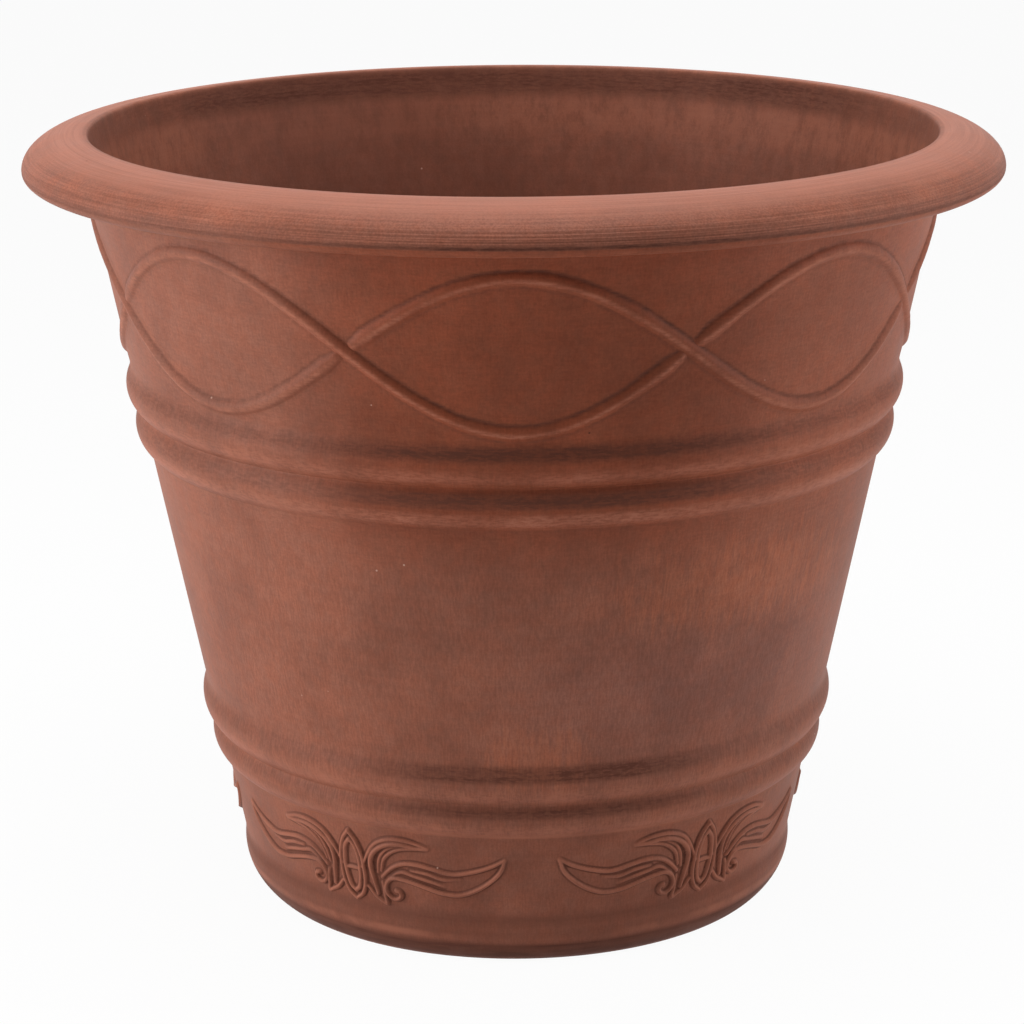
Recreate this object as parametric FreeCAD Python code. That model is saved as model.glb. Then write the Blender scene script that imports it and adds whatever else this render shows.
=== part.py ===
import FreeCAD, Part
import math
import os

# A round garden planter with a rolled rim, two pairs of turned beads, a base bead,
# two waving cords that cross under the rim, and leaf sprays round the foot.
# Millimetres. The pot stands on z = 0 with its axis on Z, and its front faces -Y.

# Heights of the bands, from the ground up
base_bead_height = 27.5
leaf_band_height = 46.5
lower_pair_under_height = 18.8
lower_pair_over_height = 22.2
plain_band_height = 129.0
upper_pair_under_height = 21.6
upper_pair_over_height = 21.2
wave_band_height = 99.4
rim_depth = 23.1

# The wall, a cone of one thickness, with the leaf band lying a little back from it
wall_base_radius = 150.0
draft_angle = 11.3
wall_thickness = 6.3
leaf_band_inset = 1.5

# Foot and floor
foot_inset = 11.8
foot_ring_width = 16.0
foot_recess = 6.0
floor_thickness = 10.0
floor_corner = 14.0
drain_radius = 11.0

# How far each bead stands out from the line between its creases
base_bead_bulge = 4.3
lower_bead_bulge = 4.2
upper_bead_bulge = 4.9

# The rolled rim
rim_projection = 32.27
rim_lip_inset = 7.0
rim_nose_rise = 5.4
mouth_edge = 1.2

# The waving cords: each strand runs one whole wave and ends beside the strands that cross over it
wave_count = 4
wave_turn = 0.45
wave_low_margin = 3.2
wave_high_margin = 11.3
strand_width = 8.0
strand_height = 2.2
strand_sections = 25
crossing_gap = 0.4

# The leaf sprays, with the radius of their scrolls as a share of a spray's height
spray_count = 5
spray_turn = 38.8
spray_tip_gap = 27.6
spray_low_margin = 1.6
spray_high_margin = 5.5
spray_relief = 2.6
scroll_share = 0.16
scroll_band = 3.0
scroll_start_angle = 70.0
scroll_sweep_angle = 290.0

# The stopper in the drain hole
plug_clearance = 0.4
plug_taper = 0.8
plug_stem_short = 1.0
plug_flange_overlap = 8.0
plug_flange_height = 4.0
plug_neck_radius = 6.0
plug_neck_height = 5.0
plug_knob_overhang = 3.0
plug_knob_height = 7.0

# Ornament is bedded on the wall, and the stopper on the floor, with this much room
seat_gap = 0.15

# A curve that stands for a quarter of an ellipse has its handles this far along the corner
quarter_handle = 0.5523

# Levels and radii that follow from the sizes above
base_top = base_bead_height
leaf_top = base_top + leaf_band_height
lower_groove = leaf_top + lower_pair_under_height
lower_top = lower_groove + lower_pair_over_height
plain_top = lower_top + plain_band_height
upper_groove = plain_top + upper_pair_under_height
upper_top = upper_groove + upper_pair_over_height
lip_level = upper_top + wave_band_height
nose_level = lip_level + rim_nose_rise
height = lip_level + rim_depth
floor_level = foot_recess + floor_thickness
spray_low = base_top + spray_low_margin
spray_height = leaf_top - spray_high_margin - spray_low
scroll_radius = scroll_share * spray_height
draft = math.radians(draft_angle)

# Leaf and sickle outlines, as shares of the spray: across from its middle line to the tip
# of the outer leaf, and up from its lowest point to its highest
sickle_back = [(0.226, 0.010), (0.096, 0.215), (0.073, 0.500),
               (0.178, 0.850), (0.331, 0.988), (0.532, 0.905)]
sickle_belly = [(0.532, 0.905), (0.331, 0.805), (0.232, 0.620), (0.204, 0.298), (0.226, 0.010)]
leaf_upper = [(0.185, 0.360), (0.318, 0.607), (0.462, 0.660),
              (0.700, 0.578), (0.860, 0.662), (1.000, 0.810)]
leaf_lower = [(1.000, 0.810), (0.911, 0.488), (0.752, 0.288), (0.670, 0.262),
              (0.510, 0.331), (0.357, 0.407), (0.185, 0.310)]
leaf_stem = [(0.185, 0.310), (0.185, 0.360)]
bud_side = [(0.000, 0.000), (0.086, 0.500), (0.000, 1.000)]
scroll_place = (0.293, 0.248)


def wall_radius(level):
    """Outside radius of the plain cone at a height."""
    return wall_base_radius + (level - base_top) * math.tan(draft)


def band_radius(level):
    """Outside radius of the leaf band at a height."""
    return wall_radius(level) - leaf_band_inset


def inner_radius(level):
    """Radius of the pot's inside at a height."""
    return wall_radius(level) - wall_thickness / math.cos(draft)


def nose_radius():
    """Radius of the rim's outermost line."""
    return wall_radius(lip_level) + rim_projection


def at(radius, level):
    """A point of a turned profile."""
    return FreeCAD.Vector(radius, 0, level)


def straight(start, end):
    return Part.LineSegment(start, end).toShape()


def bezier(points):
    curve = Part.BezierCurve()
    curve.setPoles(points)
    return curve.toShape()


def bead(start, end, bulge):
    """An arc from crease to crease that stands out by bulge at its middle."""
    along = end - start
    outward = FreeCAD.Vector(along.z, 0, -along.x).normalize()
    middle = (start + end) * 0.5 + outward * bulge
    return Part.Arc(start, middle, end).toShape()


def quarter(start, corner, end):
    """A quarter of an ellipse that runs along both sides of its corner."""
    leaving = start + (corner - start) * quarter_handle
    arriving = end + (corner - end) * quarter_handle
    return bezier([start, leaving, arriving, end])


def turned(edges):
    """The solid that a closed profile makes round the pot's axis."""
    face = Part.Face(Part.Wire(edges))
    return face.revolve(FreeCAD.Vector(0, 0, 0), FreeCAD.Vector(0, 0, 1), 360)


def turn_about_axis(shape, degrees):
    """A copy turned about Z, counted from the front towards +X."""
    copy = shape.copy()
    copy.rotate(FreeCAD.Vector(0, 0, 0), FreeCAD.Vector(0, 0, 1), degrees)
    return copy


def rim_edges(wall_end):
    """The rolled rim, from the top of the outside wall over the crest to the top of the inside wall."""
    mouth_radius = inner_radius(height)
    lip = at(nose_radius() - rim_lip_inset, lip_level)
    nose = at(nose_radius(), nose_level)
    crest = at(mouth_radius + mouth_edge, height)
    inside = at(inner_radius(height - mouth_edge), height - mouth_edge)
    edges = [
        straight(wall_end, lip),
        quarter(lip, at(nose_radius(), lip_level), nose),
        quarter(nose, at(nose_radius(), height), crest),
        quarter(crest, at(mouth_radius, height), inside),
    ]
    return edges, inside


def pot_shell():
    """Wall, beads, rim and floor, with the drain hole through the floor."""
    foot_radius = wall_base_radius - foot_inset
    underside = at(drain_radius, foot_recess)
    ring_root = at(foot_radius - foot_ring_width - foot_recess, foot_recess)
    ring_foot = at(foot_radius - foot_ring_width, 0)
    foot = at(foot_radius, 0)
    base, leaf_end = [at(band_radius(z), z) for z in (base_top, leaf_top)]
    creases = [at(wall_radius(z), z) for z in (lower_groove, lower_top, plain_top, upper_groove, upper_top,
                                               lip_level)]
    low_groove, low_end, plain_end, up_groove, up_end, wall_end = creases
    rim, inside_top = rim_edges(wall_end)
    corner = at(inner_radius(floor_level), floor_level)
    wall_foot = at(inner_radius(floor_level + floor_corner), floor_level + floor_corner)
    floor_edge = at(corner.x - floor_corner, floor_level)
    hole_edge = at(drain_radius, floor_level)
    edges = [
        straight(underside, ring_root),
        straight(ring_root, ring_foot),
        straight(ring_foot, foot),
        bead(foot, base, base_bead_bulge),
        straight(base, leaf_end),
        bead(leaf_end, low_groove, lower_bead_bulge),
        bead(low_groove, low_end, lower_bead_bulge),
        straight(low_end, plain_end),
        bead(plain_end, up_groove, upper_bead_bulge),
        bead(up_groove, up_end, upper_bead_bulge),
        straight(up_end, wall_end),
    ]
    edges += rim
    edges += [
        straight(inside_top, wall_foot),
        quarter(wall_foot, corner, floor_edge),
        straight(floor_edge, hole_edge),
        straight(hole_edge, underside),
    ]
    return turned(edges)


def strand_section(azimuth, centre, amplitude):
    """The flat-backed round section of a cord, square to its run along the wall."""
    level = centre + amplitude * math.cos(wave_count * azimuth)
    climb = -amplitude * wave_count * math.sin(wave_count * azimuth)
    radius = wall_radius(level)
    radial = FreeCAD.Vector(math.sin(azimuth), -math.cos(azimuth), 0)
    around = FreeCAD.Vector(math.cos(azimuth), math.sin(azimuth), 0)
    up = FreeCAD.Vector(0, 0, 1)
    outward = radial * math.cos(draft) - up * math.sin(draft)
    run = around * radius + (up + radial * math.tan(draft)) * climb
    run.normalize()
    side = outward.cross(run)
    seat = radial * radius + up * level + outward * seat_gap
    left = seat - side * (strand_width / 2)
    right = seat + side * (strand_width / 2)
    crown = seat + outward * strand_height
    return Part.Wire([Part.Arc(left, crown, right).toShape(), straight(right, left)])


def wave_strand():
    """One whole wave of a cord, over the crossing in its middle and cut short at both ends."""
    amplitude = (wave_band_height - wave_low_margin - wave_high_margin - strand_width) / 2
    centre = upper_top + wave_low_margin + strand_width / 2 + amplitude
    slope = math.atan(amplitude * wave_count / math.cos(draft) / wall_radius(centre))
    held_back = strand_width / 2 / math.tan(slope) + crossing_gap
    end_turn = held_back * math.cos(slope) / wall_radius(centre)
    quarter_wave = math.pi / 2 / wave_count
    start = -quarter_wave + end_turn
    finish = 3 * quarter_wave - end_turn
    step = (finish - start) / (strand_sections - 1)
    sections = [strand_section(start + i * step, centre, amplitude) for i in range(strand_sections)]
    return Part.makeLoft(sections, True, False)


def spray_level(up):
    """Height of a point of the spray from its share of the spray's height."""
    return spray_low + up * spray_height


def spray_angle(across):
    """Angle from the spray's middle line from its share of the spray's half width."""
    tip_radius = band_radius(spray_level(leaf_upper[-1][1]))
    return across * (math.pi / spray_count - spray_tip_gap / 2 / tip_radius)


def flat_point(across, up, facing):
    """A point of the spray drawn on the upright plane that faces one of its leaves."""
    level = spray_level(up)
    return FreeCAD.Vector(band_radius(level) * math.sin(spray_angle(across) - facing), 0, level)


def curve_through(points, facing):
    curve = Part.BSplineCurve()
    curve.interpolate([flat_point(across, up, facing) for across, up in points])
    return curve.toShape()


def punched(edges, facing):
    """A drawn outline pushed straight through the wall where it faces, from as far out as the rim."""
    prism = Part.Face(Part.Wire(edges)).extrude(FreeCAD.Vector(0, nose_radius(), 0))
    prism.translate(FreeCAD.Vector(0, -nose_radius(), 0))
    return turn_about_axis(prism, math.degrees(facing))


def bud_punch():
    right = [flat_point(across, up, 0) for across, up in bud_side]
    left = [FreeCAD.Vector(-p.x, 0, p.z) for p in right]
    return punched([Part.Arc(*right).toShape(), Part.Arc(*reversed(left)).toShape()], 0)


def sickle_punch():
    facing = spray_angle(sickle_back[2][0] + sickle_back[-1][0]) / 2
    return punched([curve_through(sickle_back, facing), curve_through(sickle_belly, facing)], facing)


def leaf_punch():
    facing = spray_angle(leaf_upper[0][0] + leaf_upper[-1][0]) / 2
    stem = straight(*[flat_point(across, up, facing) for across, up in leaf_stem])
    return punched([curve_through(leaf_upper, facing), curve_through(leaf_lower, facing), stem], facing)


def scroll_punch():
    """The curl under the outer leaf: most of a ring, open on its outer side."""
    facing = spray_angle(scroll_place[0])
    centre = flat_point(*scroll_place, facing)

    def on_ring(radius, degrees):
        a = math.radians(degrees)
        return centre + FreeCAD.Vector(radius * math.cos(a), 0, radius * math.sin(a))

    first = scroll_start_angle
    last = first + scroll_sweep_angle
    middle = (first + last) / 2
    inside = scroll_radius - scroll_band
    outer = Part.Arc(*[on_ring(scroll_radius, a) for a in (first, middle, last)]).toShape()
    inner = Part.Arc(*[on_ring(inside, a) for a in (last, middle, first)]).toShape()
    ends = [straight(on_ring(scroll_radius, last), on_ring(inside, last)),
            straight(on_ring(inside, first), on_ring(scroll_radius, first))]
    return punched([outer, ends[0], inner, ends[1]], facing)


def relief_layer():
    """The thin layer over the leaf band that the ornament fills."""
    out = 1.0 / math.cos(draft)
    low, high = base_top, leaf_top
    near, far = seat_gap * out, (seat_gap + spray_relief) * out
    corners = [at(band_radius(low) + near, low), at(band_radius(low) + far, low),
               at(band_radius(high) + far, high), at(band_radius(high) + near, high)]
    return turned([straight(corners[i], corners[(i + 1) % 4]) for i in range(4)])


def leaf_spray():
    """A bud between two sickle leaves and two outer leaves with scrolls, in one piece."""
    layer = relief_layer()
    half = [punch.common(layer) for punch in (sickle_punch(), leaf_punch(), scroll_punch())]
    mirrored = [leaf.mirror(FreeCAD.Vector(0, 0, 0), FreeCAD.Vector(1, 0, 0)) for leaf in half]
    return bud_punch().common(layer).multiFuse(half + mirrored).removeSplitter()


def drain_plug():
    """A rubber stopper: tapered stem in the drain hole, flange on the floor, knob to pull it by."""
    stem_radius = drain_radius - plug_clearance
    seat = floor_level + seat_gap
    flange_top = seat + plug_flange_height
    neck_top = flange_top + plug_neck_height
    knob_top = neck_top + plug_knob_height
    flange_radius = drain_radius + plug_flange_overlap
    knob_radius = plug_neck_radius + plug_knob_overhang
    stem_foot = foot_recess + plug_stem_short
    knob_middle = (neck_top + knob_top) / 2
    points = [at(0, stem_foot), at(stem_radius - plug_taper, stem_foot), at(stem_radius, seat),
              at(flange_radius, seat), at(flange_radius, flange_top), at(plug_neck_radius, flange_top),
              at(plug_neck_radius, neck_top), at(plug_neck_radius, knob_top), at(0, knob_top)]
    edges = [straight(points[i], points[i + 1]) for i in range(6)]
    edges.append(Part.Arc(points[6], at(knob_radius, knob_middle), points[7]).toShape())
    edges.append(straight(points[7], points[8]))
    edges.append(straight(points[8], points[0]))
    return turned(edges)


def save(name, shape):
    """Writes one piece and says whether it is a sound single solid."""
    solid = shape.Solids[0] if len(shape.Solids) == 1 else shape
    print(name, "solids", len(shape.Solids), "valid", solid.isValid(), "volume", round(solid.Volume))
    solid.exportStep("parts/" + name + ".step")


os.makedirs("parts", exist_ok=True)
save("pot_shell", pot_shell())
strand = wave_strand()
for number in range(2 * wave_count):
    save("wave_strand_%d" % (number + 1), turn_about_axis(strand, wave_turn + number * 180.0 / wave_count))
spray = leaf_spray()
for number in range(spray_count):
    save("leaf_spray_%d" % (number + 1), turn_about_axis(spray, spray_turn + number * 360.0 / spray_count))
save("drain_plug", drain_plug())
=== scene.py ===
import math

import bpy
import numpy as np
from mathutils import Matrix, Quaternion, Vector, noise


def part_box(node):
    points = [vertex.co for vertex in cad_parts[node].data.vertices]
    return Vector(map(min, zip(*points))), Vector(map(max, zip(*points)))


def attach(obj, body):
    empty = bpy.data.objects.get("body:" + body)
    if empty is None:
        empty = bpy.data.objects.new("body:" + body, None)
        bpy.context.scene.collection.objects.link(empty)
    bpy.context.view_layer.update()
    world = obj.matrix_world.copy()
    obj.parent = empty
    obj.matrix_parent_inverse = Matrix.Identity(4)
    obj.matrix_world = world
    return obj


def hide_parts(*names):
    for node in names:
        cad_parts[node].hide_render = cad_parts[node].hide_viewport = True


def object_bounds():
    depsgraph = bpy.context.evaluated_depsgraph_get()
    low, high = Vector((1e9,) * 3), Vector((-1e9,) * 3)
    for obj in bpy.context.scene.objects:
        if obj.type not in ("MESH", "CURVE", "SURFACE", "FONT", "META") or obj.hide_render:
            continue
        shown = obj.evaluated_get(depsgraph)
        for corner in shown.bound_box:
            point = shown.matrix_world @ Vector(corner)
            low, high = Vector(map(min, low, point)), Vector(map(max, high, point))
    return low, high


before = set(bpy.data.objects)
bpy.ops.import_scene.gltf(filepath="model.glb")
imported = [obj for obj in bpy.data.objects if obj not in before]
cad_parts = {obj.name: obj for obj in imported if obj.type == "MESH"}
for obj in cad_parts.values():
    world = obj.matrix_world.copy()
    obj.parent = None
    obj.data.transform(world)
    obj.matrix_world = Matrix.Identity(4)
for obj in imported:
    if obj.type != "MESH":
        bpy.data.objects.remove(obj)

# A round planter in a terracotta-brown finish: the turned pot, eight strands of waving cord in relief,
# five leaf sprays round the foot and the rubber stopper in the drain hole. Metres, in the CAD frame.
# Azimuth is counted from the front, -Y, towards +X.

CAD_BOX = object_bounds()

# Levels of the creases, from the ground up
BASE_TOP = 0.0275
LEAF_TOP = 0.0740
LOWER_GROOVE = 0.0928
LOWER_TOP = 0.1150
PLAIN_TOP = 0.2440
UPPER_GROOVE = 0.2656
UPPER_TOP = 0.2868
LIP_LEVEL = 0.3862
NOSE_LEVEL = 0.3916
HEIGHT = CAD_BOX[1][2]

# The wall, foot and floor
WALL_BASE_RADIUS = 0.1500
DRAFT = math.radians(11.3)
WALL_THICKNESS = 0.0063
BAND_INSET = 0.0015
FOOT_RADIUS = 0.1382
FOOT_RING = 0.016
FOOT_RECESS = 0.006
FLOOR_LEVEL = 0.016
FLOOR_CORNER = 0.014
DRAIN_RADIUS = 0.011
# How far out from the inner face a point of the section counts as outside
OUTSIDE_MARGIN = 0.002

# Beads and rim
BASE_BULGE = 0.0043
LOWER_BULGE = 0.0042
UPPER_BULGE = 0.0049
NOSE_RADIUS = CAD_BOX[1][0]
LIP_DEPTH = 0.0070
LIP_RADIUS = NOSE_RADIUS - LIP_DEPTH
MOUTH_EDGE = 0.0012
# Turned lines in the rim's face: level above the nose, depth
RIM_LINES = ((-0.0003, 0.00045), (0.0013, 0.00022), (0.0025, 0.00030), (0.0036, 0.00020), (0.0048, 0.00030),
             (0.0062, 0.00018), (0.0080, 0.00014))
RIM_LINE_WIDTH = 0.00034
RIM_FACE_MARGIN = 0.001

# The stopper
STOPPER_GAP = 0.00015
STEM_GAP = 0.0004
STEM_TAPER = 0.0008
FLANGE_THICKNESS = 0.004
NECK_RADIUS = 0.0060
NECK_HEIGHT = 0.005
KNOB_RADIUS = 0.0090
AXIS_GAP = 0.0004

# Wear above zero is rubbed and wear below zero is washed dark; on the pot and the cords the same values also
# hold painted highlights above zero and painted shade below zero.
# Bends that show as wear: the length they are measured over, and how far out counts in full
WEAR_BENDS = ((0.0012, 0.00020), (0.0035, 0.0012))
BEND_WEAR = 0.2
# Paint on each bead, partly dark wash with painted shade on its upper part and partly rubbing with painted
# light on its lower part:
# its low and high crease, the share of its height where the dark is strongest, how strong the dark is, and
# how strongly its lower part is lightened
BEAD_WASH_AND_SHADING = (
    (LEAF_TOP, LOWER_GROOVE, 0.78, 0.75, 0.50), (LOWER_GROOVE, LOWER_TOP, 0.80, 0.95, 0.50),
    (PLAIN_TOP, UPPER_GROOVE, 0.72, 0.95, 0.55), (UPPER_GROOVE, UPPER_TOP, 0.82, 0.80, 0.35),
    (0.0, BASE_TOP, 0.88, 0.45, 0.0),
)
BEAD_RUB_AND_LIGHT_PLACE = 0.26
BEAD_PAINT_REACH = 0.34
# Rings of painted light and shade on the outer wall and on the rim: a painted highlight on the lower edge of
# the lower beads, painted light in the two grooves, painted shade near the foot, dark wash with a painted
# shadow in the groove just under the nose, and painted shade on the lower part of the rim. Their wear, level
# and half height
WALL_SHADING_RINGS = (
    (1.6, LEAF_TOP + 0.0008, 0.0022), (0.35, LOWER_GROOVE, 0.0028), (0.35, UPPER_GROOVE, 0.0028),
    (-0.35, 0.0160, 0.0060),
)
RIM_WASH_AND_SHADE_RINGS = ((-1.2, NOSE_LEVEL - 0.0003, 0.0016), (-0.52, NOSE_LEVEL + 0.0020, 0.0070))
# Painted shade round the foot and inside the mouth: how strong, and the levels between which it changes
FOOT_SHADE = 1.3
FOOT_SHADE_END = (0.008, 0.014)
MOUTH_SHADE = 0.7
MOUTH_SHADE_START = (HEIGHT - 0.022, HEIGHT - 0.010)
MOUTH_MARGIN = 0.0004

# How the turned pieces are meshed
PROFILE_STEP = 0.0003
SAME_POINT = 1e-9
PROFILE_TOLERANCE = 0.000012
PROFILE_SPAN = 0.006
EDGE_SOFTNESS = 0.0007
HOLLOW_SOFTNESS = 0.0030
HOLLOW_REACH = 0.007
POT_STEPS = 252
STOPPER_STEPS = 96
# The length that a whole step of wear and painted shading stands for when a profile is thinned
WEAR_LENGTH = 0.0002

# How far the skirts of relief patches rise beside the relief, and how far below the wall they end
SKIRT_LIFT = 0.00030
BEDDING = 0.00006

# The waving cords
WAVES = 4
QUARTER_WAVE = math.pi / 2 / WAVES
WAVE_TURN = math.radians(0.45)
WAVE_CENTRE = 0.33245
WAVE_RISE = 0.03845
STRAND_HALF = 0.0038
STRAND_HEIGHT = 0.0018
STRAND_ROUNDNESS = 1.1
STRAND_HELD_BACK = 0.0060
STRAND_CAP = 0.0030
# The skirt round a strand: its half width, where it starts to fade, its spread, and how much faster it ends
# past a tip
STRAND_SKIRT = 0.0095
SKIRT_FADE = 0.0070
SKIRT_SPREAD = 0.0046
TIP_SQUEEZE = 1.6
# Points along a strand, rows across it, and how the rows crowd towards the middle
STRAND_POINTS = 240
STRAND_ROWS = 41
ROW_BEND = 1.15
ROW_SHARE = 0.62
# Distances from a strand's end over which its last stretch and its tip change
LAST_STRETCH = (0.004, 0.030)
TIP_STRETCH = (-0.002, 0.008)
# Shares by which unevenness, the last stretch and the tip change a strand's width and height
WIDTH_CHANGES = (0.10, 0.18, -0.40)
HEIGHT_CHANGES = (0.07, -0.12, -0.30)
# Unevenness along a strand: strength, steps to the metre and place in the noise
UNEVENNESS = ((1.0, 70.0, 0.4), (0.6, 260.0, 4.1))
STRAND_SHIFT = 7.3
# Paint across a strand, dark wash with painted shade above it and painted shadow below it, and rubbing with a
# painted highlight near its crest: wear, and its place and reach in half widths
STRAND_WASH_AND_SHADING = ((0.55, -0.22, 0.70), (-0.72, 1.05, 0.50), (-0.32, -1.25, 0.50))

# The leaf sprays
SPRAYS = 5
SPRAY_TURN = math.radians(38.8)
SPRAY_HALF_ANGLE = math.radians(30.9)
SPRAY_LOW = 0.0291
SPRAY_HEIGHT = 0.0394
SPRAY_RADIUS = 0.1527
SPRAY_CELL = 0.00045
SPRAY_MARGIN = 0.0042
SPRAY_BELOW = 0.0012
SPRAY_RELIEF = 0.98
# A ridge: points from one given point to the next, steps along it, the share of its length over which it
# rises, the share of its width left where it is lowest, its roundness, the reach and spread of its skirt, and
# its blur
CURVE_POINTS = 24
RIDGE_STEP = 0.0004
RIDGE_RISE = 0.3
RIDGE_THIN = 0.45
RIDGE_ROUNDNESS = 0.9
RIDGE_REACH = 0.0040
RIDGE_SKIRT = 0.0019
RIDGE_BLUR = 0.00026
# Wear on the ridges: the length over which they are compared with their surroundings, the height that counts
# in full, the darkest wash, and how soon wear starts at the edge of a skirt
RIDGE_AROUND = 0.0014
RIDGE_FULL = 0.00034
RIDGE_WASH = -0.9
SKIRT_WEAR = 2.5
MILLIMETRE = 0.001

# How far in from the wall's middle the finish is wholly that of the inside
INSIDE_DEPTH = 0.002
# Levels over which the finish changes: where a change starts and is full
FLOOR_START = (FLOOR_LEVEL + 0.012, FLOOR_LEVEL + 0.002)
RIM_START = (NOSE_LEVEL - 0.0018, NOSE_LEVEL - 0.0006)
UPPER_START = (PLAIN_TOP - 0.040, PLAIN_TOP + 0.012)
LEAVES_END = (LEAF_TOP, LEAF_TOP + 0.004)
CREST_SHEEN_START = (HEIGHT - 0.009, HEIGHT - 0.0005)
# Levels where the painted shade in the wash starts to vary by side
FRONT_SHADE_START = (LEAF_TOP, LEAF_TOP + 0.006)
SIDE_LIT_START = (UPPER_TOP - 0.002, UPPER_TOP + 0.004)
LOW_RUB_AND_LIGHT_START = (PLAIN_TOP, LOWER_TOP)
# Bands of the finish: where one starts, is full, starts to fade and ends
INSIDE_BAND = (0.366, 0.378, 0.388, 0.398)
SHOULDER_BAND = (0.0122, 0.0150, 0.0158, 0.0185)
# Changes by level: where one starts and is full, and the values there
SCORED = (NOSE_LEVEL + 0.005, NOSE_LEVEL + 0.012, 0.95, 0.40)
LOW_INSIDE_SHADE = (INSIDE_BAND[1], INSIDE_BAND[0] - 0.02, 0.0, 0.35)
# Changes by direction: azimuth in degrees, the cosines of the angles from it where the change starts and is
# full, and the values there
STAIN_SIDE = (3.0, 0.78, 0.97, 0.0, 0.9)
# The warmer right side is painted light, making up for the grey sheen that the lamps give there
SHEEN_OFFSET_SIDE = (62.0, 0.75, 0.97, 0.0, 1.0)
LEFT_INSIDE_SHADE = (-150.0, 0.86, 0.99, 0.0, 0.38)
# The wash as painted shade: stronger at the front, weaker at the lit left and right
FRONT_SHADE = (5.0, 0.80, 1.0, 0.30, 1.08)
LEFT_LIT = (-60.0, 0.50, 0.95, 1.0, 0.40)
RIGHT_LIT = (66.0, 0.60, 0.97, 1.0, 0.60)
INSIDE_WASH = (180.0, 0.2, 0.8, 0.35, 1.0)
# Less rubbing and painted light low down at the right
RIGHT_RUB_AND_LIGHT = (60.0, 0.50, 0.95, 0.0, 1.0)
SHOULDER_SIDES = (5.0, 0.995, 0.88, 0.1, 0.75)
# Dry-brushed patches of the wall: azimuth and half angle in degrees, level and half height
BRUSHED = ((38, 38, 0.205, 0.058), (4, 14, 0.118, 0.046), (-104, 40, 0.205, 0.045), (-160, 34, 0.160, 0.040),
           (126, 42, 0.190, 0.045), (172, 30, 0.215, 0.040))
# A greyer patch of the wall, in the same terms
HAZE = (34, 44, 0.150, 0.060)

# Colours of the finish
CLAY_DARK = (0.229, 0.083, 0.0525, 1)
CLAY_LIGHT = (0.302, 0.109, 0.068, 1)
BAND_COLOUR = (0.350, 0.124, 0.075, 1)
INSIDE_SHADE = (0.152, 0.052, 0.034, 1)
# The crest's pale colour is partly a dusty tone and partly painted sheen
CREST_SHEEN_COLOUR = (0.450, 0.178, 0.120, 1)
# Dark wash in hollows, which also serves as painted shade
WASH_AND_SHADE_COLOUR = (0.112, 0.039, 0.025, 1)
# Rubbed edges, which also serve as painted highlights
RUBBED_AND_LIT_COLOUR = (0.395, 0.146, 0.091, 1)
SHOULDER_RUB_AND_LIGHT_COLOUR = (0.400, 0.150, 0.094, 1)
SPECK_COLOUR = (0.60, 0.38, 0.30, 1)
PIT_COLOUR = (0.070, 0.024, 0.016, 1)
RUBBER_DARK = (0.022, 0.021, 0.020, 1)
RUBBER_DUSTY = (0.048, 0.045, 0.042, 1)
RUBBER_WORN = (0.085, 0.080, 0.075, 1)
# Tints that multiply a colour
COOL_TINT = (0.985, 1.020, 1.040, 1)
WARM_TINT = (1.018, 0.978, 0.952, 1)
STAIN_TINT = (0.86, 0.62, 0.475, 1)
SHEEN_OFFSET_TINT = (1.10, 0.95, 0.85, 1)
HAZE_TINT = (0.96, 1.04, 1.16, 1)
STROKE_TINT = (1.33, 1.21, 1.08, 1)
RIM_TINT = (1.08, 1.08, 1.09, 1)
# The range of values in which most of a noise lies
NOISE_RANGE = (0.34, 0.66)
# Textures wound round the pot: scales round it and up it, detail and roughness
HATCH = (200.0, 190.0, 2.0, 0.6)
WEFT = (42.0, 850.0, 2.0, 0.6)
STROKES = (66.0, 48.0, 4.0, 0.65)
TURNED_LINES = (2.4, 520.0, 3.0, 0.7)
MOTTLE = (26.0, 62.0, 6.0, 0.76)
# Textures that fill space: scale, detail and roughness
CLOUDS = (11.0, 5.0, 0.6)
BLOTCHES = (46.0, 4.0, 0.6)
TONE = (120.0, 3.0, 0.6)
GRAIN = (900.0, 2.0, 0.6)
RUBBER_DUST = (160.0, 4.0, 0.55)
RUBBER_GRAIN = (2400.0, 2.0, 0.55)
# Changes by a texture or by wear: its value where the change starts and where it is full
CLAY_RANGE = (0.36, 0.66)
TONE_RANGE = (0.36, 0.64)
WASH_AND_SHADE_RANGE = (0.0, -0.8)
RUB_AND_LIGHT_RANGE = (0.05, 0.8)
DUST_RANGE = (0.35, 0.7)
HANDLED_RANGE = (0.1, 0.9)
# The same, with what the change gives at its start and its end
BEAD_THREADS = (0.1, 0.5, 0.09, 0.14)
INSIDE_MOTTLE = (0.32, 0.68, 0.87, 1.12)
BAND_MOTTLE = (0.36, 0.60, 0.15, 0.60)
STROKE_EDGE = (1.36, 2.00, 0.0, 0.90)
LINE_TONES = (0.35, 0.68, 0.83, 1.17)
CREST_SHEEN_LINES = (0.3, 0.7, 0.45, 0.75)
WASH_AND_SHADE_BLOTCHES = (0.25, 0.60, 0.62, 0.88)
WASH_AND_SHADE_LINES = (0.35, 0.65, 0.80, 1.12)
WASH_AND_SHADE_STREAKS = (0.36, 0.64, 1.16, 0.80)
RUB_AND_LIGHT_BLOTCHES = (0.35, 0.65, 0.30, 0.75)
RUB_AND_LIGHT_STREAKS = (0.36, 0.64, 0.58, 1.38)
SHOULDER_BLOTCHES = (0.35, 0.62, 0.15, 0.9)
RUBBER_ROUGHNESS = (0.3, 0.7, 0.55, 0.72)
# Depths to which threads low down, grain, and grain on the rim vary the colour
LOW_THREADS = 0.06
GRAIN_DEPTH = 0.055
RIM_GRAIN_DEPTH = 0.13
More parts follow.
